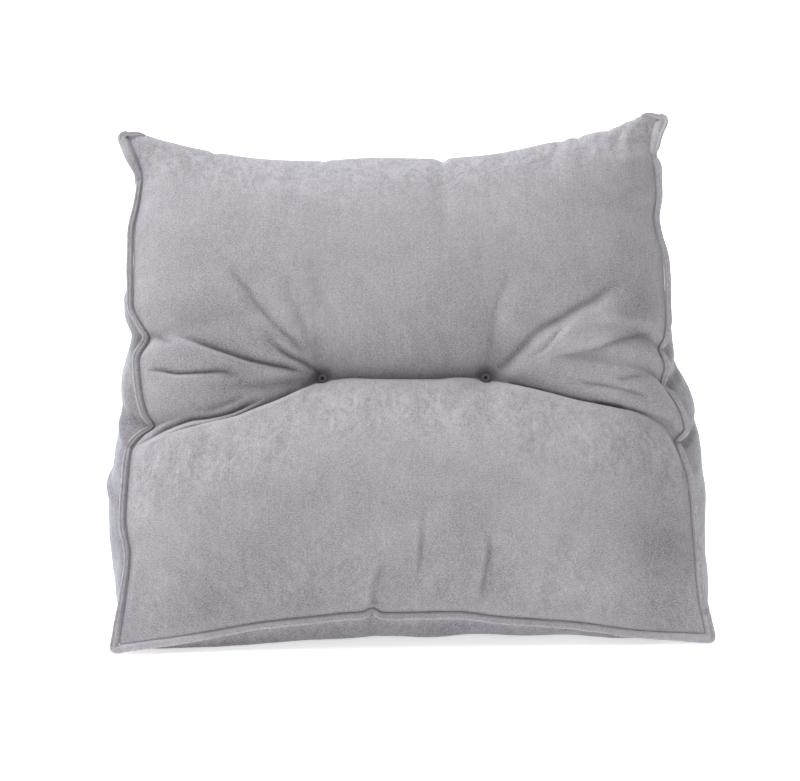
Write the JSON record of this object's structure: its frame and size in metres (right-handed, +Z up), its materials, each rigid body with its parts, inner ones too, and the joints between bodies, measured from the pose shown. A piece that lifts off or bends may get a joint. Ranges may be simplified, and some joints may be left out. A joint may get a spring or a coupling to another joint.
{
  "type": "wedge back cushion",
  "caption": "Filled wedge back cushion in pile cloth: leaning face with a buttoned crease, topstitched edge flanges, eared corners, flat base",
  "frame": {"origin": "on the floor plane, under the middle of the cushion's box", "axes": "+Z up, the leaning face looks towards -Y, +X to the right of someone looking at the face"},
  "size_m": [0.6325, 0.2423, 0.516],
  "materials": {
    "pile_cloth": "brushed velour pile, light warm grey, soft sheen",
    "button": "small dull grey button"
  },
  "bodies": {
    "root": {"cushion_body": "pile_cloth", "flange_left": "pile_cloth", "flange_right": "pile_cloth", "flange_foot": "pile_cloth", "button_left": "button", "button_right": "button"}
  },
  "joints": []
}
